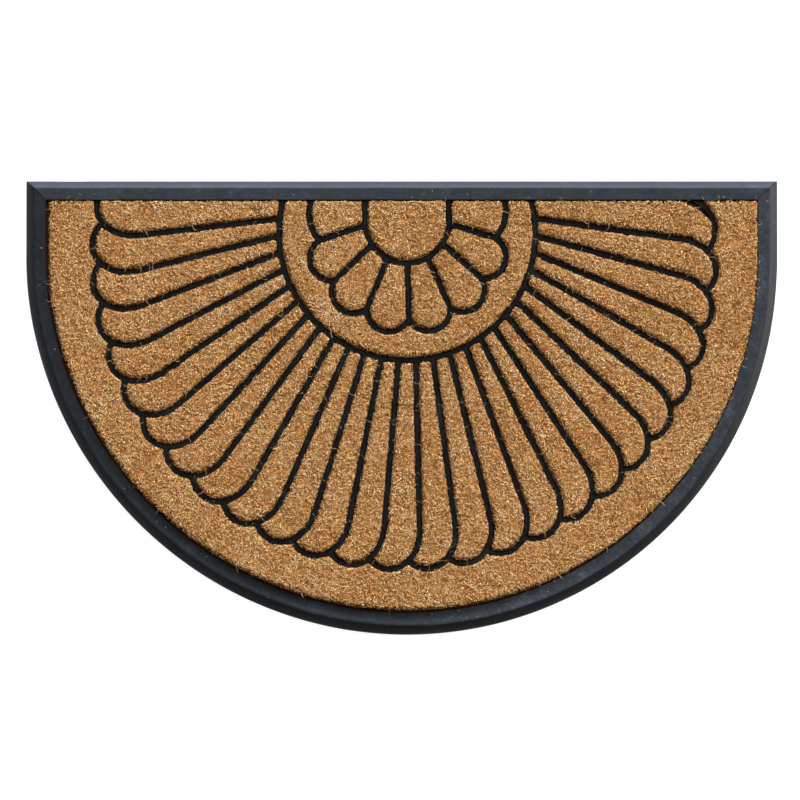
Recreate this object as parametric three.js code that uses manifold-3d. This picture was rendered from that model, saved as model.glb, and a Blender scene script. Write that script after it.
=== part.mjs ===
// Half-round doormat: one moulded rubber tray, whose raised ribs draw a fan of feathers round a
// half rosette, with a pad of coir brush set in every cell of the tray.
// Millimetres, +Z up. The straight edge is towards +Y, and the origin is on the underside, at the
// middle of the mat's length and depth.
import * as THREE from 'three';
import { mergeVertices } from 'three/addons/utils/BufferGeometryUtils.js';
import Module from 'manifold-3d';

const wasm = await Module();
wasm.setup();

// Outline of the mat: straight along the top, short straight sides, then a round edge.
const mat = {
  width: 762,
  depth: 462,
  sideLength: 77.4,
  lean: 0.0145, // the round edge leans towards +X by this much for each mm below leanFrom
  leanFrom: 120,
};

// Heights above the surface that the mat lies on.
const height = {
  sheet: 3,
  lip: 3,
  crest: 11,
  borderInner: 10.2,
  rib: 8.6,
  coirWall: 11.2,
  coir: 13,
};

// How far two lines of the border lie inside the outer edge, at each side of the mat.
const crestInset = { side: 7.8, straight: 7.3, round: 8.2 };
const innerInset = { side: 20, straight: 19.6, round: 22 };

// Between the rubber and the coir that is set in it.
const gap = 0.3;

// Half widths of a rib, at its foot in the sheet and at its top.
const ribHalf = { foot: 2.7, top: 2 };

// How far the top of a pad is drawn in from its wall.
const padInset = 2;

// Circles that the ornament is laid out on. The head circle carries the far ends of the straight
// ribs, and the tip circle touches the outermost points of their rounded tips.
const ring = { x: 5.3, y: 177.3, radius: 130.1 };
const headCircle = { x: 0.8, y: 144.8, radius: 266 };
const tipCircle = { x: 2.7, y: 150.4, radius: 316.4 };
const hub = { x: 5.1, y: 188.9, radius: 42.6 };
const petalCircle = { x: 5.5, y: 177.9, radius: 89.3 };

// The fan: straight ribs whose rounded tips all bend the same way.
const feather = { ribs: 26, step: 7.71, headTurn: 0.16, tipLength: 39.2, tipWidth: 31 };

// The first feather's rib runs along inside the straight border and bends out of it. Where it
// comes out, the border pad's thin corner is cut off by a short groove.
const firstFeather = { x: 200, y: 215.2, tipWidth: 35.5 };
const cornerCut = { x: 304.7, y: 206 };

// The half rosette: petals with arched ends round the hub, the outer two cut by the border.
const petal = { ribs: 7, step: 28.5, turn: -0.9, rise: 17.4, cutLength: 54, cutRise: 11 };

// Where the ribs that meet the straight border end, inside it.
const ribEndY = 216;

const segments = { edge: 72, ring: 46, hub: 16, tipQuarter: 7, arch: 8 };
const colour = { rubber: 0x2b2f33, coir: 0xb48a56 };

const halfWidth = mat.width / 2;
const halfDepth = mat.depth / 2;
const roundEdgeY = halfDepth - mat.sideLength;

function leaned(point) {
  const below = Math.max(0, mat.leanFrom - point.y);
  return new THREE.Vector2(point.x + mat.lean * below, point.y);
}

// The mat's outline, drawn in by the given inset, anticlockwise seen from above.
function matOutline(inset) {
  const x = halfWidth - inset.side;
  const y = halfDepth - inset.straight;
  const roundDepth = roundEdgeY + halfDepth - inset.round;
  const edge = new THREE.EllipseCurve(0, roundEdgeY, x, roundDepth, Math.PI, 2 * Math.PI);
  return [new THREE.Vector2(-x, y), ...edge.getPoints(segments.edge), new THREE.Vector2(x, y)].map(leaned);
}

function drawnIn(inset, more) {
  return { side: inset.side + more, straight: inset.straight + more, round: inset.round + more };
}

// Triangles that fill an outline, all anticlockwise.
function fillTriangles(outline) {
  return THREE.ShapeUtils.triangulateShape(outline, []).map(([a, b, c]) => {
    const ab = outline[b].clone().sub(outline[a]);
    const ac = outline[c].clone().sub(outline[a]);
    return ab.cross(ac) > 0 ? [a, b, c] : [a, c, b];
  });
}

// A closed surface through rings of equally many points, with the first and last ring filled.
function loft(rings, fill) {
  const count = rings[0].length;
  const last = (rings.length - 1) * count;
  const index = [];
  for (let start = 0; start < last; start += count) {
    for (let i = 0; i < count; i += 1) {
      const a = start + i;
      const b = start + ((i + 1) % count);
      index.push(a, b, b + count, a, b + count, a + count);
    }
  }
  for (const [a, b, c] of fill) {
    index.push(a, c, b, last + a, last + b, last + c);
  }
  const geometry = new THREE.BufferGeometry().setFromPoints(rings.flat());
  geometry.setIndex(index);
  return geometry;
}

// Outlines of the mat stacked at their heights: rows of [inset, height].
function stack(rows) {
  const rings = rows.map(([inset, z]) => matOutline(inset).map((p) => new THREE.Vector3(p.x, p.y, z)));
  return loft(rings, fillTriangles(matOutline(rows[rows.length - 1][0])));
}

// A section, given as points of (sideways, height), carried along a level path with mitred corners.
function sweep(path, section) {
  const rings = path.map((point, i) => {
    const ahead = path[Math.min(i + 1, path.length - 1)];
    const behind = path[Math.max(i - 1, 0)];
    const arriving = (i > 0 ? point.clone().sub(behind) : ahead.clone().sub(point)).normalize();
    const leaving = (i < path.length - 1 ? ahead.clone().sub(point) : arriving.clone()).normalize();
    const along = arriving.clone().add(leaving).normalize();
    const stretch = 1 / along.dot(arriving);
    const side = new THREE.Vector2(-along.y, along.x).multiplyScalar(stretch);
    return section.map((s) => new THREE.Vector3(point.x + side.x * s.x, point.y + side.y * s.x, s.y));
  });
  return loft(rings, fillTriangles(section));
}

// Both sides of a section from its right half, which runs upwards.
function mirrored(rightHalf) {
  const left = rightHalf.map(([x, z]) => new THREE.Vector2(-x, z)).reverse();
  return [...rightHalf.map(([x, z]) => new THREE.Vector2(x, z)), ...left];
}

function onCircle(circle, clockwiseDegrees) {
  const angle = -THREE.MathUtils.degToRad(clockwiseDegrees);
  const reach = new THREE.Vector2(Math.cos(angle), Math.sin(angle)).multiplyScalar(circle.radius);
  return reach.add(new THREE.Vector2(circle.x, circle.y));
}

// Where the segments a-b and c-d cross, or null.
function crossing(a, b, c, d) {
  const ab = b.clone().sub(a);
  const cd = d.clone().sub(c);
  const ac = c.clone().sub(a);
  const turn = ab.cross(cd);
  const t = ac.cross(cd) / turn;
  const s = ac.cross(ab) / turn;
  return t >= 0 && t <= 1 && s >= 0 && s <= 1 ? a.clone().addScaledVector(ab, t) : null;
}

// The path up to the point where it first meets the line that stops it.
function stoppedBy(stopper, path) {
  for (let i = 1; i < path.length - 1; i += 1) {
    for (let k = 0; k < stopper.length - 1; k += 1) {
      const end = crossing(path[i], path[i + 1], stopper[k], stopper[k + 1]);
      if (end) return [...path.slice(0, i + 1), end];
    }
  }
  return path;
}

// One rib of the fan: straight from its foot, then an elliptical tip bending clockwise, whose
// outermost point lies on the tip circle.
function featherPath(foot, direction, tipWidth) {
  const side = new THREE.Vector2(direction.y, -direction.x);
  const centre = new THREE.Vector2(tipCircle.x, tipCircle.y);
  const lane = foot.clone().addScaledVector(side, tipWidth).sub(centre);
  const along = lane.dot(direction);
  const apex = -along + Math.sqrt(along ** 2 - lane.lengthSq() + tipCircle.radius ** 2);
  const straight = apex - feather.tipLength;
  const path = [foot];
  for (let i = 0; i < 2 * segments.tipQuarter; i += 1) {
    const angle = (i * Math.PI) / 2 / segments.tipQuarter;
    path.push(foot.clone()
      .addScaledVector(direction, straight + feather.tipLength * Math.sin(angle))
      .addScaledVector(side, tipWidth * (1 - Math.cos(angle))));
  }
  return path;
}

function featherPaths() {
  const border = [new THREE.Vector2(-halfWidth, ribEndY), new THREE.Vector2(halfWidth, ribEndY)];
  const start = new THREE.Vector2(firstFeather.x, firstFeather.y);
  const paths = [featherPath(start, new THREE.Vector2(1, 0), firstFeather.tipWidth)];
  for (let i = 0; i < feather.ribs; i += 1) {
    const turn = 90 + (i - (feather.ribs - 1) / 2) * feather.step;
    const foot = onCircle(ring, turn);
    const head = onCircle(headCircle, turn + feather.headTurn);
    paths.push(featherPath(foot, head.sub(foot).normalize(), feather.tipWidth));
  }
  return paths.map((path, i) => stoppedBy(paths[i + 1] ?? border, path));
}

// The arc of a circle clockwise from angle start to angle end.
function circlePath({ x, y, radius }, start, end, points) {
  return new THREE.EllipseCurve(x, y, radius, radius, start, end, true).getPoints(points);
}

// The ring round the half rosette, both of whose ends run into the border.
function ringPath() {
  const past = Math.asin((ribEndY - ring.y) / ring.radius);
  return circlePath(ring, past, -Math.PI - past, segments.ring);
}

// The hub's half circle, with upright ends that run into the border.
function hubPath() {
  const right = new THREE.Vector2(hub.x + hub.radius, ribEndY);
  const left = new THREE.Vector2(hub.x - hub.radius, ribEndY);
  return [right, ...circlePath(hub, 0, -Math.PI, segments.hub), left];
}

// A circular arch from start to end, standing out by rise to the right of that line.
function archPath(start, end, rise) {
  const chord = end.clone().sub(start);
  const radius = (chord.lengthSq() / 4 + rise ** 2) / (2 * rise);
  const outward = new THREE.Vector2(chord.y, -chord.x).normalize();
  const centre = start.clone().addScaledVector(chord, 0.5).addScaledVector(outward, rise - radius);
  const half = Math.atan2(chord.length() / 2, radius - rise);
  const middle = outward.angle();
  const arc = new THREE.EllipseCurve(centre.x, centre.y, radius, radius, middle - half, middle + half);
  return arc.getPoints(segments.arch);
}

function petalPaths() {
  const turns = Array.from(
    { length: petal.ribs },
    (_, i) => 90 + petal.turn + (i - (petal.ribs - 1) / 2) * petal.step,
  );
  const heads = turns.map((turn) => onCircle(petalCircle, turn));
  const ribs = turns.map((turn, i) => [onCircle(hub, turn), heads[i]]);
  const arches = heads.slice(1).map((head, i) => archPath(head, heads[i], petal.rise));
  const above = new THREE.Vector2(0, petal.cutLength);
  const last = heads[petal.ribs - 1];
  const right = archPath(heads[0], heads[0].clone().add(above), petal.cutRise);
  const left = archPath(last.clone().add(above), last, petal.cutRise);
  return [...ribs, ...arches, right, left];
}

function solid(geometry) {
  const merged = mergeVertices(geometry, 1e-4);
  const mesh = new wasm.Mesh({
    numProp: 3,
    vertProperties: new Float32Array(merged.attributes.position.array),
    triVerts: new Uint32Array(merged.index.array),
  });
  return new wasm.Manifold(mesh);
}

function meshOf(piece, name, color, roughness) {
  const { vertProperties, triVerts } = piece.getMesh();
  const geometry = new THREE.BufferGeometry();
  geometry.setAttribute('position', new THREE.BufferAttribute(vertProperties, 3));
  geometry.setIndex(new THREE.BufferAttribute(triVerts, 1));
  geometry.computeVertexNormals();
  const material = new THREE.MeshStandardMaterial({ color, roughness, metalness: 0 });
  const mesh = new THREE.Mesh(geometry, material);
  mesh.name = name;
  return mesh;
}

function joined(pieces) {
  return pieces.reduce((all, piece) => all.add(piece));
}

const ribPaths = [ringPath(), hubPath(), ...petalPaths(), ...featherPaths()];

// The tray: base sheet, bevelled border round a recess, and the ribs that stand in the recess.
function tray() {
  const outer = { side: 0, straight: 0, round: 0 };
  const body = stack([
    [outer, 0],
    [outer, height.lip],
    [crestInset, height.crest],
    [innerInset, height.borderInner],
    [innerInset, height.sheet],
  ]);
  const section = mirrored([
    [ribHalf.foot, height.sheet / 2],
    [ribHalf.top, height.rib],
  ]);
  return joined([solid(body), ...ribPaths.map((path) => solid(sweep(path, section)))]);
}

// The coir: one slab that fills the recess, parted into pads along the ribs.
function coirPads() {
  const wall = drawnIn(innerInset, gap);
  const slab = stack([
    [wall, height.sheet + gap],
    [wall, height.coirWall],
    [drawnIn(wall, padInset), height.coir],
  ]);
  const half = ribHalf.foot + gap;
  const above = height.coir - height.coirWall;
  const groove = mirrored([
    [half, height.sheet / 2],
    [half, height.coirWall],
    [half + 2 * padInset, height.coir + above],
  ]);
  const cut = [new THREE.Vector2(cornerCut.x, ribEndY), new THREE.Vector2(cornerCut.x, cornerCut.y)];
  const grooves = [...ribPaths, cut].map((path) => solid(sweep(path, groove)));
  return solid(slab).subtract(joined(grooves)).decompose();
}

// Which part of the ornament a pad fills. Only the pads of the border and of the ring reach
// right round another part, so they are told by their length, and the others by their place.
function padKind(centre, length) {
  const reach = Math.hypot(centre.x - ring.x, centre.y - ring.y);
  if (length > 2 * tipCircle.radius) return 'border';
  if (length > petalCircle.radius + ring.radius) return 'ring';
  if (reach < hub.radius) return 'hub';
  return reach < ring.radius ? 'petal' : 'feather';
}

// Pads of each kind are numbered clockwise, from the upper right.
function namedPads() {
  const pads = coirPads().map((piece) => {
    const { min, max } = piece.boundingBox();
    const box = new THREE.Box3(new THREE.Vector3(...min), new THREE.Vector3(...max));
    const centre = box.getCenter(new THREE.Vector3());
    const clockwise = Math.atan2(ring.y - centre.y, centre.x - ring.x);
    const turn = clockwise < -Math.PI / 2 ? clockwise + 2 * Math.PI : clockwise;
    return { piece, kind: padKind(centre, max[0] - min[0]), turn };
  });
  const counts = {};
  return pads.sort((a, b) => a.turn - b.turn).map(({ piece, kind }) => {
    counts[kind] = (counts[kind] ?? 0) + 1;
    const many = kind === 'petal' || kind === 'feather';
    const name = many ? `coir_${kind}_${String(counts[kind]).padStart(2, '0')}` : `coir_${kind}`;
    return meshOf(piece, name, colour.coir, 1);
  });
}

const doormat = new THREE.Group();
doormat.add(meshOf(tray(), 'rubber_tray', colour.rubber, 0.75), ...namedPads());

export default doormat;
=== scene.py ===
"""Half-round doormat: a moulded rubber tray, and coir brush pads whose fibres are modelled."""
import math

import bmesh
import bpy
import numpy as np
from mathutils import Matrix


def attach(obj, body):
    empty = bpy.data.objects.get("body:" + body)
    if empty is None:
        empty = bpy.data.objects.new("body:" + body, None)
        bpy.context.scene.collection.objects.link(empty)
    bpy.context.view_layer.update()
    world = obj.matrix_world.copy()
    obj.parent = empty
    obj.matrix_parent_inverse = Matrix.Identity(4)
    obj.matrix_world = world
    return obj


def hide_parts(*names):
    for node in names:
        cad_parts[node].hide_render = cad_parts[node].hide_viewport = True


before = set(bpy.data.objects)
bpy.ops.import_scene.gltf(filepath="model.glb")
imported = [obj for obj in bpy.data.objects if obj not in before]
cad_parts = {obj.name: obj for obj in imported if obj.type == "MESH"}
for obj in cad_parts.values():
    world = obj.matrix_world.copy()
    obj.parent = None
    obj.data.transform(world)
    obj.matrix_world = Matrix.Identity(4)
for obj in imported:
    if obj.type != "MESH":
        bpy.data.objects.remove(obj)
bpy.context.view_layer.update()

MM = 0.001
rng = np.random.default_rng(41)

# Sizes of the tray, in mm, as in the CAD part. The straight edge lies at the highest y. Insets
# are given at the sides, at the straight edge and at the round edge.
WIDTH, DEPTH = 762.0, 462.0
ROUND_EDGE_Y = DEPTH / 2 - 77.4  # below this the outline is half an ellipse
LEAN, LEAN_FROM = 0.0145, 120.0  # below LEAN_FROM the mat leans to the right
CREST = np.array([7.8, 7.3, 8.2])
INNER = np.array([20.0, 19.6, 22.0])
SHEET, RIB_TOP = 3.0, 8.6

# The border as it is drawn here.
LIP = np.array([19.7, 19.6, 21.2])  # insets of its inner edge
SIDE_LEFT, ROUND, SIDE_RIGHT, STRAIGHT = range(4)  # the parts of the outline
FLAP_X, FLAP_REACH, FLAP_HALF = 314.0, 1.7, 5.5  # a tongue that hangs over the gap
# Its section: 0 is the outer edge, 1 the crest and 2 the inner edge, each with its level.
SECTION = [(0, 0.0), (0, 2.3), (0.015, 2.8), (0.06, 3.35), (0.12, 3.94), (0.5, 6.85),
           (0.86, 9.5), (0.93, 9.92), (0.98, 10.13), (1.03, 10.24), (1.09, 10.32), (1.17, 10.38),
           (1.27, 10.44), (1.37, 10.5), (1.47, 10.57), (1.57, 10.63), (1.67, 10.7), (1.77, 10.76),
           (1.87, 10.82), (1.965, 10.88), (1.985, 10.88), (2, 10.84), (2, 6.5), (2, SHEET)]

# The pile, in mm. Its cells are those of a level grid.
CELL = 0.5
GRID_X, GRID_Y = -390.0, -240.0
GRID_W, GRID_H = 1560, 960
TOP, WALL_TOP = 12.8, 11.0  # the surface's level, and that at a pad's edge
ROUNDING = 2.4  # how far in from the edge the surface is rounded
SAG, SAG_DEPTH = 5.5, 2.5  # how far in it is trodden down at the lower left, and by how much
CORNER = 1.75  # radius of a pad's corners
RIM = 1.0  # how far in the rim's fibres and the stray ones are rooted
DENSITY = 0.97  # fibres a square mm
LOOK_AHEAD = 6.0  # longest run of a fibre that is compared with its pad
DOME_STEP, DOME_UNDER = 6, 1.05  # cells between the dome's points, and its depth under the surface
CUT_UNDER, LEDGE = 1.5, 6.6  # depth of the cut pad under the pile, and its level beside the pile
PIECE_FACES = 175000
CRUMBS = 45

# The kinds of fibre, in mm and degrees: each one's share, its climb, its length and its width.
# Last comes how far a lying fibre's root is below the surface, or how far another's tip is above.
KINDS = [("lying", 0.60, (-2, 15), (2.2, 4.5), (0.48, 0.76), (0.1, 1.1)),
         ("standing", 0.27, (30, 80), (1.8, 3.0), (0.48, 0.76), (-0.4, 0.5)),
         ("rim", 0.13, (38, 86), (2.6, 4.6), (0.5, 0.8), (-0.9, 0.3))]


def smooth(t):
    """A soft step from 0 to 1."""
    return t * t * (3 - 2 * t)


def ramp_up(value, start, length):
    """0 up to start, then a straight rise to 1 over length."""
    return np.clip((value - start) / length, 0, 1)


def waves(t, count, seed):
    """A smooth closed wave of unit size along t from 0 to 1."""
    own = np.random.default_rng(seed)
    total = np.zeros_like(t)
    for k in range(1, count + 1):
        total += own.normal() * np.sin(2 * np.pi * (k * t + own.random())) / math.sqrt(count)
    return total


def direction(heading, climb):
    """Unit vectors of a heading and a climb, in radians."""
    return np.stack([np.cos(heading) * np.cos(climb), np.sin(heading) * np.cos(climb),
                     np.sin(climb)], 1)


def sideways(heading):
    """Level unit vectors square to a heading."""
    return np.stack([-np.sin(heading), np.cos(heading), np.zeros(len(heading))], 1)


def add_object(name, data):
    thing = bpy.data.objects.new(name, data)
    bpy.context.scene.collection.objects.link(thing)
    return thing


def dressed(name, mesh, node):
    """The mesh as a piece that rides on the mat and stands for a CAD node."""
    piece = add_object(name, mesh)
    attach(piece, "root")
    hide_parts(node)
    return piece


def store(mesh, label, values):
    """Keep one number for each point, which a material reads by its label."""
    attribute = mesh.attributes.new(label, "FLOAT", "POINT")
    attribute.data.foreach_set("value", values.astype(np.float32))


def lean(y):
    """How far to the right the mat lies at y."""
    return LEAN * np.maximum(0, LEAN_FROM - y)


def border_stations():
    """Where the border's sections stand: the part of the outline, the place along it, and
    whether it is a corner."""
    near = np.array([0.0, 0.006, 0.012, 0.03])
    side = np.concatenate([near, np.linspace(0.06, 0.97, 28)])
    arc = np.linspace(0, 1, 361)
    top = np.concatenate([0.1 * near[1:], np.linspace(0.01, 0.99, 261), 1 - 0.1 * near[:0:-1]])
    rows = [(SIDE_LEFT, t) for t in side] + [(ROUND, t) for t in arc]
    rows += [(SIDE_RIGHT, 1 - t) for t in side[::-1]] + [(STRAIGHT, t) for t in top]
    part, place = np.array(rows).T
    corner = ((part == SIDE_LEFT) & (place == 0)) | ((part == SIDE_RIGHT) & (place == 1))
    return part.astype(int), place, corner


def inset_at(f):
    """The insets at f across the border, for a column of f."""
    return np.where(f < 1, CREST * f, CREST + (LIP - CREST) * (f - 1))


def on_outline(part, place, inset):
    """Points of the mat's outline drawn in by inset, one row of three insets a station."""
    x = WIDTH / 2 - inset[:, 0]
    y = DEPTH / 2 - inset[:, 1]
    reach = ROUND_EDGE_Y + DEPTH / 2 - inset[:, 2]
    angle = math.pi * (1 + place)
    px = np.choose(part, [-x, x * np.cos(angle), x, x - 2 * x * place])
    py = np.choose(part, [y + (ROUND_EDGE_Y - y) * place,
                          ROUND_EDGE_Y + reach * np.sin(angle),
                          ROUND_EDGE_Y + (y - ROUND_EDGE_Y) * place, y])
    return px + lean(py), py


def inside(x, y, inset):
    """Whether points lie inside the outline drawn in by inset."""
    half = WIDTH / 2 - inset[0]
    reach = ROUND_EDGE_Y + DEPTH / 2 - inset[2]
    below = np.minimum(0, y - ROUND_EDGE_Y)
    return (y < DEPTH / 2 - inset[1]) & (((x - lean(y)) / half) ** 2 + (below / reach) ** 2 < 1)


def cupping(part, place):
    """How much the border's inner half turns up: fully at the round edge, a little at the left."""
    angle = math.pi * (1 + place)
    away_x = np.choose(part, [-1.0, np.cos(angle), 1.0, 0.0])
    away_y = np.choose(part, [0.0, np.sin(angle), 0.0, 1.0])
    return np.clip(-away_y, 0, 1) ** 3 + 0.1 * np.clip(-away_x, 0, 1) ** 3


def cupped(f, z, weight):
    """The level of the border at f across it, where it turns up by weight: the crest sinks, the
    slope behind it is levelled and dips, and the lip rises."""
    sink = 0.4
    if f <= 1 or z < 7:
        return z - sink * weight * min(f, 1) * (z > 3)
    slope = 0.65 * max(0, f - 1.17)
    dip = 0.3 * min(1, max(0, f - 1.1) / 0.3)
    rise = 1.65 * (max(0, f - 1.4) / 0.565) ** 2.4
    return z + weight * (rise - slope - dip - sink)


def border_painted_light(x, inner_half, part):
    """How painted light and shade scale the border's colour: dimmed on its outer half, dim on its
    inner half at the left and brighter towards the right but for its end; the straight edge keeps
    its colour.
    """
    painted_light = 0.35 + 1.95 * smooth(ramp_up(x, -200, 400)) - 0.8 * ramp_up(x, 220, 150)
    painted_light = np.where(inner_half, painted_light, 0.4)
    return np.where(part == STRAIGHT, 1.0, painted_light)


def border_mesh():
    """The border's points and faces, and for each point its place along and across the border, in
    m, and the scale of painted light and shade on its colour."""
    part, place, corner = border_stations()
    count, rings = len(part), len(SECTION)
    t = np.arange(count) / count
    sway, lift = waves(t, 26, 5), waves(t, 40, 6)
    sway_by, outer_sway_by, lift_by, corner_drop = 0.018, 0.01, 0.07, 0.8
    weight = cupping(part, place)
    points, faces = [], []
    for f, z in SECTION:
        swayed = f + (sway_by * sway if 0.1 < f < 1.99 else outer_sway_by * np.abs(sway))
        x, y = on_outline(part, place, inset_at(np.clip(swayed, 0, 2)[:, None]))
        if f > 1.9:
            flap = np.exp(-((x - FLAP_X) / FLAP_HALF) ** 4)
            y = y - FLAP_REACH * (part == STRAIGHT) * flap
        rise = lift_by * lift if 0.1 < f and z > 5 else 0
        sunk = corner_drop * corner if 0.05 < f < 2 and z > 3 else 0
        points.append(np.stack([x, y, cupped(f, z, weight) + rise - sunk], 1))
    for low in range(0, (rings - 1) * count, count):
        for i in range(count):
            k = (i + 1) % count
            faces.append((low + i, low + k, low + count + k, low + count + i))
    last = (rings - 1) * count
    faces.append(tuple(range(count))[::-1])
    faces.append(tuple(last + i for i in range(count)))
    edge = points[0][:, :2]
    steps = np.hypot(*(edge - np.roll(edge, 1, 0)).T)
    steps[0] = 0
    points = np.concatenate(points)
    across = np.repeat([f for f, z in SECTION], count)
    # each point's painted light and shade, as a scale of its colour
    values = {"along": np.tile(np.cumsum(steps) * MM, rings), "across": 0.007 * across,
              "painted_light": border_painted_light(points[:, 0], across > 1.02, np.tile(part, rings))}
    return points, faces, values


def rib_mesh():
    """The ribs of the CAD tray, closed underneath, with the edges of their tops rounded."""
    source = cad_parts["rubber_tray"].data
    weld, rounding, inner_face = 0.02, 1.0, INNER + 0.15
    shape = bmesh.new()
    taken = {}
    for polygon in source.polygons:
        x, y, z = np.array(polygon.center) / MM
        if z < SHEET + 0.05 or not inside(x, y, inner_face):
            continue
        for v in polygon.vertices:
            if v not in taken:
                taken[v] = shape.verts.new(source.vertices[v].co / MM)
        shape.faces.new([taken[v] for v in polygon.vertices])
    bmesh.ops.remove_doubles(shape, verts=shape.verts, dist=weld)
    bmesh.ops.dissolve_limit(shape, angle_limit=math.radians(1), verts=shape.verts,
                             edges=shape.edges)
    rims = [e for e in shape.edges if len(e.link_faces) == 2
            and all(v.co.z > RIB_TOP - 0.05 for v in e.verts) and e.calc_face_angle() > 0.7]
    bmesh.ops.bevel(shape, geom=rims, offset=rounding, offset_type="OFFSET", segments=4,
                    profile=0.5, affect="EDGES", clamp_overlap=True)
    bmesh.ops.triangulate(shape, faces=[f for f in shape.faces if len(f.verts) > 4])
    for v in shape.verts:
        if v.co.z < SHEET + 0.2:
            v.co.z = SHEET
    bmesh.ops.remove_doubles(shape, verts=shape.verts, dist=weld)
    bmesh.ops.triangle_fill(shape, edges=[e for e in shape.edges if e.is_boundary],
                            use_beauty=False, use_dissolve=False, normal=(0, 0, -1))
    shape.verts.index_update()
    points = np.array([v.co for v in shape.verts])
    faces = [tuple(v.index for v in f.verts) for f in shape.faces]
    shape.free()
    return points, faces


def rubber():
    """The tray: its border and its ribs as one piece, with a material each."""
    points, faces, values = border_mesh()
    rib_points, rib_faces = rib_mesh()
    first, border_faces = len(points), len(faces)
    faces += [tuple(first + v for v in f) for f in rib_faces]
    mesh = bpy.data.meshes.new("rubber_moulding")
    co = np.concatenate([points, rib_points]) * MM
    mesh.from_pydata([tuple(p) for p in co], [], faces)
    mesh.update()
    for label, numbers in values.items():
        store(mesh, label, np.concatenate([numbers, np.zeros(len(rib_points))]))
    store(mesh, "level", np.concatenate([np.zeros(first), rib_points[:, 2] / 10]))
    mesh.materials.append(rubber_material("moulded_rubber", (0.0085, 0.0095, 0.0115), 0.3,
                                          (0.9, 0.97, 1.0, 1), streaked=True))
    # the ribs get a darker, duller copy of the rubber: painted shade of the pads about them
    mesh.materials.append(rubber_material("rib_rubber", (0.0066, 0.0063, 0.0063), 0.055,
                                          (1, 0.9, 0.82, 1), streaked=False))
    mesh.polygons.foreach_set("material_index", [int(i >= border_faces) for i in range(len(faces))])
    mesh.polygons.foreach_set("use_smooth", [True] * len(faces))
    mesh.set_sharp_from_angle(angle=math.radians(38))
    return dressed("rubber_moulding", mesh, "rubber_tray")


def centre_of(row, column):
    """The middle of cells, in mm."""
    return GRID_X + (column + 0.5) * CELL, GRID_Y + (row + 0.5) * CELL


def cells_of(x, y):
    """The cells that points lie in."""
    column = np.clip(((x - GRID_X) / CELL).astype(int), 0, GRID_W - 1)
    row = np.clip(((y - GRID_Y) / CELL).astype(int), 0, GRID_H - 1)
    return row, column


def noise_field(scale, seed):
    """Smooth noise over the grid, about -1 to 1, with lumps of the given size in mm."""
    own = np.random.default_rng(seed)
    rows, columns = int(GRID_H * CELL / scale) + 3, int(GRID_W * CELL / scale) + 3
    coarse = own.normal(size=(rows, columns))
    y = np.arange(GRID_H) * CELL / scale
    x = np.arange(GRID_W) * CELL / scale
    yi, xi = y.astype(int), x.astype(int)
    fy, fx = smooth((y - yi)[:, None]), smooth((x - xi)[None])
    a, b = coarse[np.ix_(yi, xi)], coarse[np.ix_(yi, xi + 1)]
    c, d = coarse[np.ix_(yi + 1, xi)], coarse[np.ix_(yi + 1, xi + 1)]
    return (a * (1 - fx) + b * fx) * (1 - fy) + (c * (1 - fx) + d * fx) * fy


CELL_X, CELL_Y = np.meshgrid(centre_of(0, np.arange(GRID_W))[0], centre_of(np.arange(GRID_H), 0)[1])
TUFTS = noise_field(7, 1)
BLOTCHES = noise_field(26, 2)
SWIRL = noise_field(9, 3)
FRAY = 0.65 * noise_field(3.4, 4) + 0.35 * noise_field(1.7, 5)


def footprint(node):
    """The cells that a pad covers."""
    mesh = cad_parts[node].data
    mesh.calc_loop_triangles()
    co = np.array([v.co for v in mesh.vertices]) / MM
    covered = np.zeros((GRID_H, GRID_W), bool)
    for triangle in mesh.loop_triangles:
        if triangle.normal.z < 0.2:
            continue
        a, b, c = ((co[v, :2] - (GRID_X, GRID_Y)) / CELL for v in triangle.vertices)
        low = np.floor(np.minimum(np.minimum(a, b), c)).astype(int)
        high = np.ceil(np.maximum(np.maximum(a, b), c)).astype(int) + 1
        xs, ys = np.meshgrid(np.arange(low[0], high[0]) + 0.5, np.arange(low[1], high[1]) + 0.5)
        hit = [(q[0] - p[0]) * (ys - p[1]) - (q[1] - p[1]) * (xs - p[0]) >= 0
               for p, q in ((a, b), (b, c), (c, a))]
        covered[low[1]:high[1], low[0]:high[0]] |= hit[0] & hit[1] & hit[2]
    return covered


def wall_distance(covered, steps):
    """How far each covered cell lies from the pad's edge, in mm, up to steps cells."""
    left, distance = covered.copy(), np.zeros(covered.shape, np.float32)
    for step in range(steps):
        distance[left] += CELL
        near = np.pad(left, 1)
        left = left & near[:-2, 1:-1] & near[2:, 1:-1] & near[1:-1, :-2] & near[1:-1, 2:]
        if step % 2:
            left &= near[:-2, :-2] & near[2:, 2:] & near[:-2, 2:] & near[2:, :-2]
    return distance


def rounded(covered, radius):
    """A pad's cells with its sharp corners rounded off."""
    steps = int(radius / CELL) + 1
    core = wall_distance(covered, steps) > radius
    near = wall_distance(~core, steps)
    return covered & (core | (near > 0) & (near <= radius))


def clear_of_border():
    """The cells that the pile keeps to: its worn edge leaves a gap beside the border."""
    left, right, straight_edge, round_edge = 3.0, 0.7, 1.7, 2.8
    side = np.where(CELL_X < 0, left, right)
    ragged = 0.4 * FRAY
    return inside(CELL_X, CELL_Y, (LIP[0] + side + ragged, LIP[1] + straight_edge + ragged,
                                   LIP[2] + round_edge + ragged))


def bare_corner():
    """The cells at the upper end of the first feather that its pile leaves bare."""
    past = np.maximum(0, CELL_X - 278.7)
    return (CELL_X > 270) & (CELL_Y > 209.9 - 0.114 * past - 0.0142 * past ** 2)


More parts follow.
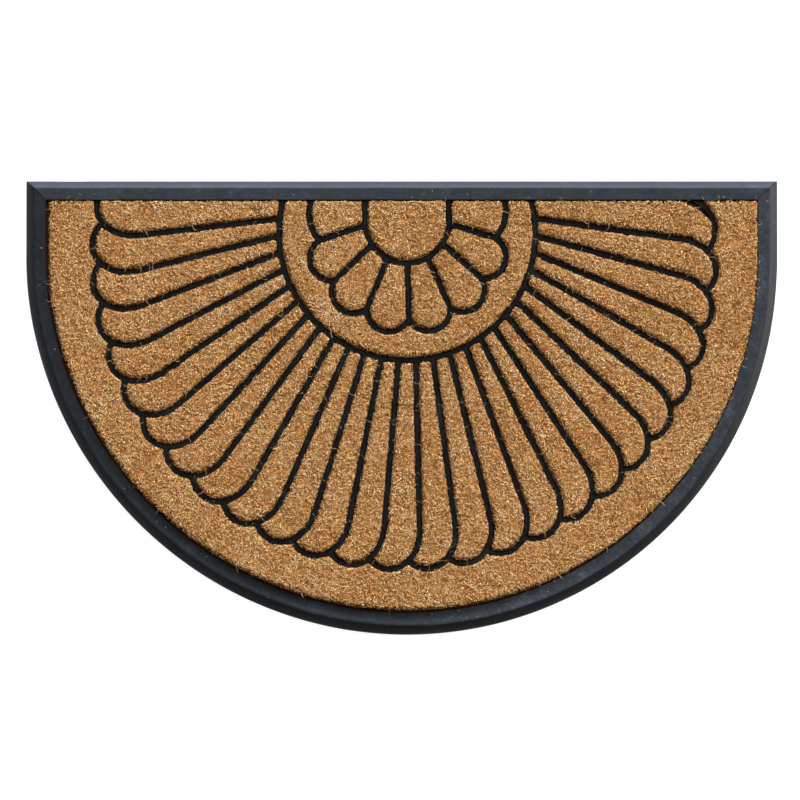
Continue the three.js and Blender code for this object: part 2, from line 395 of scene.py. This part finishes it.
def pile_surface(covered, distance):
    """The level of the pile's surface: rounded off at its edge, trodden down more on the side
    towards the mat's round and left edges, and a little lumpy."""
    left, run = covered.copy(), np.zeros(covered.shape, np.float32)
    for step in range(1, 12):
        run[left] += CELL
        up, right = round(0.87 * step), round(0.5 * step)
        moved = np.zeros_like(covered)
        moved[up:, right:] = covered[:-up or None, :-right or None]
        left = left & moved
    level = TOP - (TOP - WALL_TOP) * np.clip(1 - distance / ROUNDING, 0, 1) ** 2
    level -= SAG_DEPTH * np.clip(1 - run / SAG, 0, 1) ** 1.6 * (distance < SAG)
    return level + 0.14 * TUFTS


def height_in_pile(points, level):
    """0 deep in the pile, 0.75 at its surface and more at the tips that stand out of it; the coir's
    painted shade is read from it.
    """
    above = points[:, 2] - level[cells_of(points[:, 0], points[:, 1])]
    return np.clip((above + 3.0) / 4.0, 0.01, 0.99)


def outward(distance, cells):
    """The headings from cells of a pad towards its nearest edge."""
    slope_y, slope_x = np.gradient(distance)
    return np.arctan2(-slope_y[cells], -slope_x[cells])


def spikes(root, heading, climb, length, width, tone):
    """Closed three-sided spikes: points, faces, and the tone of each point."""
    count = len(root)
    out_to_corner = 0.58  # of the width, so that each side is about as wide
    along, across = direction(heading, climb), sideways(heading)
    over = np.cross(along, across)
    turn = rng.random(count) * 2 * np.pi
    points = np.empty((count, 4, 3))
    for k in range(3):
        angle = (turn + k * 2 * np.pi / 3)[:, None]
        out = np.cos(angle) * across + np.sin(angle) * over
        points[:, k] = root + out * width[:, None] * out_to_corner
    points[:, 3] = root + along * length[:, None]
    base = np.arange(count)[:, None] * 4
    faces = np.stack([base + (0, 1, 3), base + (1, 2, 3), base + (2, 0, 3), base + (2, 1, 0)], 1)
    return points.reshape(-1, 3), faces.reshape(-1, 3), np.repeat(tone, 4)


def clear_length(x, y, heading, covered):
    """How far a fibre may run over its own pad before it leaves it."""
    run = np.full(len(x), LOOK_AHEAD)
    done = np.zeros(len(x), bool)
    for step in np.arange(CELL, LOOK_AHEAD, CELL):
        out = ~covered[cells_of(x + np.cos(heading) * step, y + np.sin(heading) * step)] & ~done
        run[out] = step
        done |= out
    return run


def painted_edge_shade(x):
    """How much painted shade darkens the fibres towards the right side, and at the rim of the left
    one.
    """
    return 0.13 * ramp_up(x, 330, 30) + 0.09 * ramp_up(-x, 346, 10)


def joined(parts):
    """Several lots of points, faces and values of points as one."""
    first = np.cumsum([0] + [len(part[0]) for part in parts[:-1]])
    faces = [part[1] + start for part, start in zip(parts, first)]
    values = (np.concatenate([part[k] for part in parts]) for k in range(2, len(parts[0])))
    return np.concatenate([part[0] for part in parts]), np.concatenate(faces), *values


def fibres(covered, distance, surface, fray):
    """The fibres of one pad, as arrays of points, faces, tones and heights."""
    rows, columns = np.nonzero(covered)
    area = len(rows) * CELL * CELL
    rise_y, rise_x = np.gradient(surface, CELL)
    found = []
    for kind, share, climbs, lengths, widths, offsets in KINDS:
        count = int(area * DENSITY * share)
        if kind == "rim":
            at = rng.choice(np.nonzero(distance[rows, columns] <= RIM)[0], count)
        else:
            at = rng.integers(0, len(rows), count)
        at = at[distance[rows[at], columns[at]] > -1.1 * fray[rows[at], columns[at]]]
        count = len(at)
        cells = row, column = rows[at], columns[at]
        x = GRID_X + (column + rng.random(count)) * CELL
        y = GRID_Y + (row + rng.random(count)) * CELL

        random_turn = rng.random(count) * 2 * np.pi
        swirl = SWIRL[cells] * 2.2 + rng.normal(0, 0.9, count)
        heading = np.where(rng.random(count) < 0.55, swirl, random_turn)
        if kind == "rim":
            heading = outward(distance, cells) + rng.normal(0, 0.7, count)
        climb = np.radians(rng.uniform(*climbs, count))
        if kind == "lying":
            climb += np.arctan(np.clip(rise_x[cells] * np.cos(heading)
                                       + rise_y[cells] * np.sin(heading), -1.2, 1.2))
        length = rng.uniform(*lengths, count)
        width = rng.uniform(*widths, count)
        offset = rng.uniform(*offsets, count)
        if kind == "lying":
            z = surface[cells] - offset
        else:
            z = surface[cells] - length * np.sin(climb) + offset

        ragged = rng.exponential(0.22, count) + 0.9 * fray[cells] - 0.2
        room = np.maximum(clear_length(x, y, heading, covered) + ragged, 0.5)
        length = np.where(length * np.cos(climb) > room, room / np.maximum(np.cos(climb), 0.05),
                          length)
        tone = rng.beta(3.1, 2.6, count)
        # tone varies with blotches and tufts, and painted shade darkens it towards the right side
        # and at the left rim
        tone += 0.045 * BLOTCHES[cells] + 0.05 * TUFTS[cells] - painted_edge_shade(x)
        dark = rng.random(count) < 0.07
        tone = np.clip(np.where(dark, 0.16 * rng.random(count), tone), 0.01, 0.99)
        found.append(spikes(np.stack([x, y, z], 1), heading, climb, length, width, tone))
    points, faces, tones = joined(found)
    return points, faces, tones, height_in_pile(points, surface)


def strays(covered, distance, spacing, seed):
    """Long loose fibres that hang out over the rubber, as thin bent tubes."""
    own = np.random.default_rng(seed)
    rows, columns = np.nonzero(covered & (distance <= RIM))
    count = int(len(rows) * CELL / 2 / spacing)
    chosen = own.choice(len(rows), count)
    cells = rows[chosen], columns[chosen]
    away = outward(distance, cells)
    heading = away + own.normal(0, 0.65, count)
    bend = own.normal(0, 0.9, count)
    length = own.uniform(2.5, 9.0, count)
    climb = own.uniform(0.1, 0.7, count)
    width = own.uniform(0.16, 0.27, count)
    rooted, over_rubber = 1.2, 11.2  # how far inside the pad it starts, and its lowest level
    at = np.stack([*centre_of(*cells), WALL_TOP + own.uniform(-0.5, 0.7, count)], 1)
    at[:, :2] -= rooted * np.stack([np.cos(away), np.sin(away)], 1)
    joints = 6
    rings = np.empty((count, joints, 3, 3))
    for k in range(joints):
        part = k / (joints - 1)
        way = heading + bend * part
        rise = climb - 1.9 * climb * part
        thick = width * (0.6 if k in (0, joints - 1) else 1.0)
        across, up = sideways(way), np.array([0, 0, 1.0])
        for j in range(3):
            turn = j * 2 * np.pi / 3
            out = math.cos(turn) * across + math.sin(turn) * up
            rings[:, k, j] = at + out * thick[:, None] / 2
        at = at + length[:, None] / (joints - 1) * direction(way, rise)
        at[:, 2] = np.maximum(at[:, 2], over_rubber)
    sides = [(3 * k + j, 3 * k + (j + 1) % 3) for k in range(joints - 1) for j in range(3)]
    one = [(a, b, b + 3) for a, b in sides] + [(a, b + 3, a + 3) for a, b in sides]
    one += [(2, 1, 0), (3 * joints - 3, 3 * joints - 2, 3 * joints - 1)]
    faces = (np.arange(count)[:, None, None] * 3 * joints + np.array(one)[None]).reshape(-1, 3)
    points = rings.reshape(-1, 3)
    tones = np.repeat(own.uniform(0.2, 0.85, count), 3 * joints)
    return points, faces, tones, np.full(len(points), 0.9)


def crumbs(count):
    """Short broken bits of fibre that lie on the border."""
    own = np.random.default_rng(77)
    part, place = border_stations()[:2]
    station = own.integers(0, len(part), count)
    part, place = part[station], place[station]
    f = 1.06 + 0.86 * own.random(count) ** 0.6
    x, y = on_outline(part, place, inset_at(f[:, None]))
    flat = np.array([row for row in SECTION if row[0] > 0.9 and row[1] > 10])
    level = np.interp(f, flat[:, 0], flat[:, 1])
    level = np.array([cupped(*row) for row in zip(f, level, cupping(part, place))])
    root = np.stack([x, y, level + 0.05], 1)
    heading = own.random(count) * 2 * np.pi
    length, width = own.uniform(0.8, 2.8, count), own.uniform(0.2, 0.38, count)
    points, faces, tones = spikes(root, heading, np.full(count, 0.03), length, width,
                                  own.uniform(0.5, 0.98, count))
    return points, faces, tones, np.full(len(points), 0.8)


def pad_body(node, covered, surface):
    """What the fibres stand in: the CAD pad cut down, and a dome just under the pile's surface."""
    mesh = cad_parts[node].data
    low = np.array([v.co for v in mesh.vertices]) / MM
    low_faces = np.array([list(t.vertices) for t in mesh.loop_triangles])
    cells = cells_of(low[:, 0], low[:, 1])
    under_pile = covered[cells]
    low[:, 2] = np.minimum(low[:, 2], np.where(under_pile, surface[cells] - CUT_UNDER, LEDGE))

    inner = covered[::DOME_STEP, ::DOME_STEP]
    rows, columns = np.nonzero(inner)
    number = np.full(inner.shape, -1)
    number[rows, columns] = np.arange(len(rows))
    cells = rows * DOME_STEP, columns * DOME_STEP
    dome = np.stack([*centre_of(*cells), surface[cells] - DOME_UNDER], 1)
    a, b = number[:-1, :-1], number[:-1, 1:]
    c, d = number[1:, 1:], number[1:, :-1]
    whole = (a >= 0) & (b >= 0) & (c >= 0) & (d >= 0)
    a, b, c, d = (corner[whole] for corner in (a, b, c, d))
    dome_faces = np.concatenate([np.stack([a, b, c], 1), np.stack([a, c, d], 1)])
    used = np.unique(dome_faces)
    renumber = np.zeros(len(dome), int)
    renumber[used] = np.arange(len(used))

    points = np.concatenate([low, dome[used]])
    faces = np.concatenate([low_faces, renumber[dome_faces] + len(low)])
    # painted shade: the body's points take low tones, and the ledge beside the pile the lowest
    # height, so it shows dark
    tones = np.clip(rng.normal(0.27, 0.12, len(points)), 0.02, 0.6)
    height = height_in_pile(points, surface)
    height[:len(low)][~under_pile] = 0.01
    return points, faces, tones, height


def pile(name, node, parts, material):
    """One piece from several lots of points, faces, tones and heights. On its map each triangle
    is a tiny one at its tone and height."""
    points, faces, tones, height = joined(parts)
    mesh = bpy.data.meshes.new(name)
    mesh.vertices.add(len(points))
    mesh.vertices.foreach_set("co", (points * MM).astype(np.float32).ravel())
    mesh.loops.add(faces.size)
    mesh.loops.foreach_set("vertex_index", faces.astype(np.int32).ravel())
    mesh.polygons.add(len(faces))
    mesh.polygons.foreach_set("loop_start", np.arange(0, faces.size, 3, dtype=np.int32))
    mesh.update(calc_edges=True)
    store(mesh, "tone", tones)
    store(mesh, "height", height)
    flat = faces.ravel()
    uv = np.stack([tones[flat] + np.tile([-0.004, 0.004, 0.0], len(faces)),
                   height[flat] + np.tile([0, 0, 0.006], len(faces))], 1)
    layer = mesh.uv_layers.new(name="OFBake")
    layer.data.foreach_set("uv", np.clip(uv, 0.001, 0.999).astype(np.float32).ravel())
    mesh.materials.append(material)
    return dressed(name, mesh, node)


def coir(material):
    """The pile of every pad; the border pad's is split, to keep each piece light."""
    clear = clear_of_border()
    made = []
    for seed, node in enumerate(sorted(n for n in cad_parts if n.startswith("coir_")), 100):
        at_border = node == "coir_border"
        kept = clear & ~bare_corner() if node == "coir_feather_01" else clear
        covered = rounded(footprint(node) & kept, CORNER)
        distance = wall_distance(covered, 12)
        surface = pile_surface(covered, distance)
        points, faces, tones, height = fibres(covered, distance, surface,
                                              FRAY * (0.8 if at_border else 0.55))
        rest = [pad_body(node, covered, surface),
                strays(covered, distance, 24 if at_border else 42, seed)]
        if at_border:
            rest.append(crumbs(CRUMBS))
        pieces = math.ceil(len(faces) / PIECE_FACES)
        per = math.ceil(len(faces) / 4 / pieces) * 4
        for k in range(pieces):
            a, b = k * per, min((k + 1) * per, len(points))
            part = (points[a:b], faces[a:b] - a, tones[a:b], height[a:b])
            name = node + "_pile" + (f"_{k + 1}" if pieces > 1 else "")
            made.append(pile(name, node, [part] + (rest if k == 0 else []), material))
    return made


def shader(name):
    """A new material, with its nodes, its links and its shader."""
    material = bpy.data.materials.new(name)
    material.use_nodes = True
    tree = material.node_tree
    return material, tree.nodes, tree.links, tree.nodes["Principled BSDF"]


def put(node, values):
    """Set a node's own numbers and colours."""
    for label, value in values.items():
        node.inputs[label].default_value = value


def attribute(nodes, label):
    node = nodes.new("ShaderNodeAttribute")
    node.attribute_name = label
    return node.outputs["Fac"]


def ramp(nodes, links, value, stops):
    """The colour at value on a ramp of stops."""
    node = nodes.new("ShaderNodeValToRGB")
    elements = node.color_ramp.elements
    while len(elements) < len(stops):
        elements.new(0.5)
    for element, (position, colour) in zip(elements, stops):
        element.position = position
        element.color = (*colour, 1)
    links.new(value, node.inputs["Fac"])
    return node.outputs["Color"]


def multiplied(nodes, links, a, b):
    """The product of two colours."""
    node = nodes.new("ShaderNodeMix")
    node.data_type = "RGBA"
    node.blend_type = "MULTIPLY"
    node.inputs["Factor"].default_value = 1
    links.new(a, node.inputs["A"])
    links.new(b, node.inputs["B"])
    return node.outputs["Result"]


def noise(nodes, links, vector, scale, detail):
    node = nodes.new("ShaderNodeTexNoise")
    put(node, {"Scale": scale, "Detail": detail})
    links.new(vector, node.inputs["Vector"])
    return node.outputs["Fac"]


def map_range(nodes, links, value, start, end, interpolation="LINEAR"):
    """Value carried over from the span of start to the span of end."""
    node = nodes.new("ShaderNodeMapRange")
    node.interpolation_type = interpolation
    put(node, {"From Min": start[0], "From Max": start[1], "To Min": end[0], "To Max": end[1]})
    links.new(value, node.inputs["Value"])
    return node.outputs["Result"]


def coir_material():
    """Fibre coloured by its tone, with painted shade that darkens it the deeper it lies in the
    pile.
    """
    material, nodes, links, bsdf = shader("coir_fibre")
    fibre = ramp(nodes, links, attribute(nodes, "tone"),
                 [(0.0, (0.15, 0.05, 0.012)), (0.2, (0.41, 0.182, 0.045)),
                  (0.5, (0.68, 0.39, 0.134)), (0.75, (0.71, 0.49, 0.225)),
                  (1.0, (0.74, 0.62, 0.39))])
    # painted shade: the deeper a point lies in the pile, the darker it is
    depth = ramp(nodes, links, attribute(nodes, "height"),
                 [(0.0, (0.05, 0.03, 0.018)), (0.3, (0.25, 0.15, 0.09)),
                  (0.52, (0.70, 0.58, 0.49)), (0.74, (1, 1, 1))])
    links.new(multiplied(nodes, links, fibre, depth), bsdf.inputs["Base Color"])
    put(bsdf, {"Roughness": 0.75, "Specular IOR Level": 0.12})
    return material


def drag_marks(nodes, links):
    """Faint marks drawn out along the border."""
    drawn = nodes.new("ShaderNodeCombineXYZ")
    for label, axis, stretch in (("along", "X", 24), ("across", "Y", 900)):
        times = nodes.new("ShaderNodeMath")
        times.operation = "MULTIPLY"
        times.inputs[1].default_value = stretch
        links.new(attribute(nodes, label), times.inputs[0])
        links.new(times.outputs["Value"], drawn.inputs[axis])
    return noise(nodes, links, drawn.outputs["Vector"], 1, 4)


def rubber_material(name, colour, gloss, tint, streaked):
    """Satin rubber of a base colour, mottled and scuffed, with a fine moulded grain. Where
    streaked, drag marks lie along it and painted light and shade scale its colour. Elsewhere
    painted shade darkens it down its sides."""
    material, nodes, links, bsdf = shader(name)
    place = nodes.new("ShaderNodeTexCoord").outputs["Object"]
    broad, scuffs, grain = (noise(nodes, links, place, scale, detail)
                            for scale, detail in ((40, 6), (330, 4), (900, 3)))
    shades = (0.3, 0.65), (0.6, 1.1), (0.75, 2.3)
    mottled = ramp(nodes, links, broad, [(position, tuple(by * c for c in colour))
                                         for position, by in shades])
    scuffed = ramp(nodes, links, scuffs, [(0.42, (0.83, 0.83, 0.83)), (0.58, (1.2, 1.2, 1.2)),
                                          (0.72, (2.2, 2.1, 2.0))])
    mixed = multiplied(nodes, links, mottled, scuffed)
    if streaked:
        # painted light and shade: each point's stored scale darkens or brightens the colour
        painted_light_scaled = nodes.new("ShaderNodeVectorMath")
        painted_light_scaled.operation = "SCALE"
        links.new(mixed, painted_light_scaled.inputs[0])
        links.new(attribute(nodes, "painted_light"), painted_light_scaled.inputs["Scale"])
        shown = painted_light_scaled.outputs["Vector"]
        both = nodes.new("ShaderNodeMix")
        both.inputs["Factor"].default_value = 0.55
        links.new(scuffs, both.inputs["A"])
        links.new(drag_marks(nodes, links), both.inputs["B"])
        wear = both.outputs["Result"]
    else:
        # painted shade: the ribs' rubber darkens down their sides, in the trench under the pile
        shade = ramp(nodes, links, attribute(nodes, "level"),
                     [(0.76, (0.15, 0.13, 0.12)), (0.855, (1, 1, 1))])
        shown = multiplied(nodes, links, mixed, shade)
        wear = scuffs
    links.new(shown, bsdf.inputs["Base Color"])
    links.new(map_range(nodes, links, wear, (0.35, 0.65), (0.38, 0.6)), bsdf.inputs["Roughness"])
    bump = nodes.new("ShaderNodeBump")
    put(bump, {"Strength": 0.3, "Distance": 0.0003})
    links.new(grain, bump.inputs["Height"])
    links.new(bump.outputs["Normal"], bsdf.inputs["Normal"])
    put(bsdf, {"Specular IOR Level": gloss, "Specular Tint": tint})
    return material


def floor():
    """A plain pale floor, just under the mat."""
    mesh = bpy.data.meshes.new("floor")
    half, z = 30.0, -0.0006
    mesh.from_pydata([(-half, -half, z), (half, -half, z), (half, half, z), (-half, half, z)], [],
                     [(0, 1, 2, 3)])
    material, _, _, bsdf = shader("pale_floor")
    put(bsdf, {"Base Color": (0.25, 0.25, 0.25, 1), "Roughness": 0.9, "Specular IOR Level": 0.1,
               "Emission Color": (1, 1, 1, 1), "Emission Strength": 0.92})
    mesh.materials.append(material)
    add_object("floor", mesh)


def studio():
    """Soft light from behind on the right, from the right, from above and, bluish, from behind."""
    world = bpy.data.worlds.new("studio")
    bpy.context.scene.world = world
    world.use_nodes = True
    nodes, links = world.node_tree.nodes, world.node_tree.links
    place = nodes.new("ShaderNodeTexCoord").outputs["Generated"]

    def light(way, start, end):
        """A light that grows over the span of start as a direction nears way."""
        node = nodes.new("ShaderNodeVectorMath")
        node.operation = "DOT_PRODUCT"
        links.new(place, node.inputs[0])
        node.inputs[1].default_value = way
        return map_range(nodes, links, node.outputs["Value"], start, end, "SMOOTHSTEP")

    def add(a, b):
        node = nodes.new("ShaderNodeMath")
        links.new(a, node.inputs[0])
        links.new(b, node.inputs[1])
        return node.outputs["Value"]

    key = light((0.433, 0.75, 0.5), (0.80, 0.97), (0.0, 9.0))
    right = light((0.985, 0.174, 0), (0.84, 1.0), (0.0, 8.6))
    top = light((0, 0, 1), (0.2, 1.0), (0.04, 0.3))
    back = light((0, 1, 0), (0.5, 1.0), (0.0, 6.8))
    white, blue = nodes["Background"], nodes.new("ShaderNodeBackground")
    white.inputs["Color"].default_value = (1.0, 0.99, 0.98, 1)
    blue.inputs["Color"].default_value = (0.8, 0.96, 1.28, 1)
    links.new(add(add(key, right), top), white.inputs["Strength"])
    links.new(back, blue.inputs["Strength"])
    both = nodes.new("ShaderNodeAddShader")
    links.new(white.outputs["Background"], both.inputs[0])
    links.new(blue.outputs["Background"], both.inputs[1])
    links.new(both.outputs["Shader"], nodes["World Output"].inputs["Surface"])


def camera():
    """Looks down from 84 degrees, from the round edge's side, through a long lens."""
    tilt, distance, across, sensor = math.radians(6.0), 20.0, 0.8108, 36
    aim = (-0.00178, 0.00716, 0.0086)
    data = bpy.data.cameras.new("camera")
    data.sensor_width = sensor
    data.lens = sensor * distance / across
    data.clip_end = 200
    view = add_object("camera", data)
    view.location = (aim[0], aim[1] - distance * math.sin(tilt),
                     aim[2] + distance * math.cos(tilt))
    view.rotation_euler = (tilt, 0, 0)
    bpy.context.scene.camera = view


camera()
floor()
studio()
bpy.context.scene.view_settings.view_transform = "Standard"
tray = rubber()
piles = coir(coir_material())
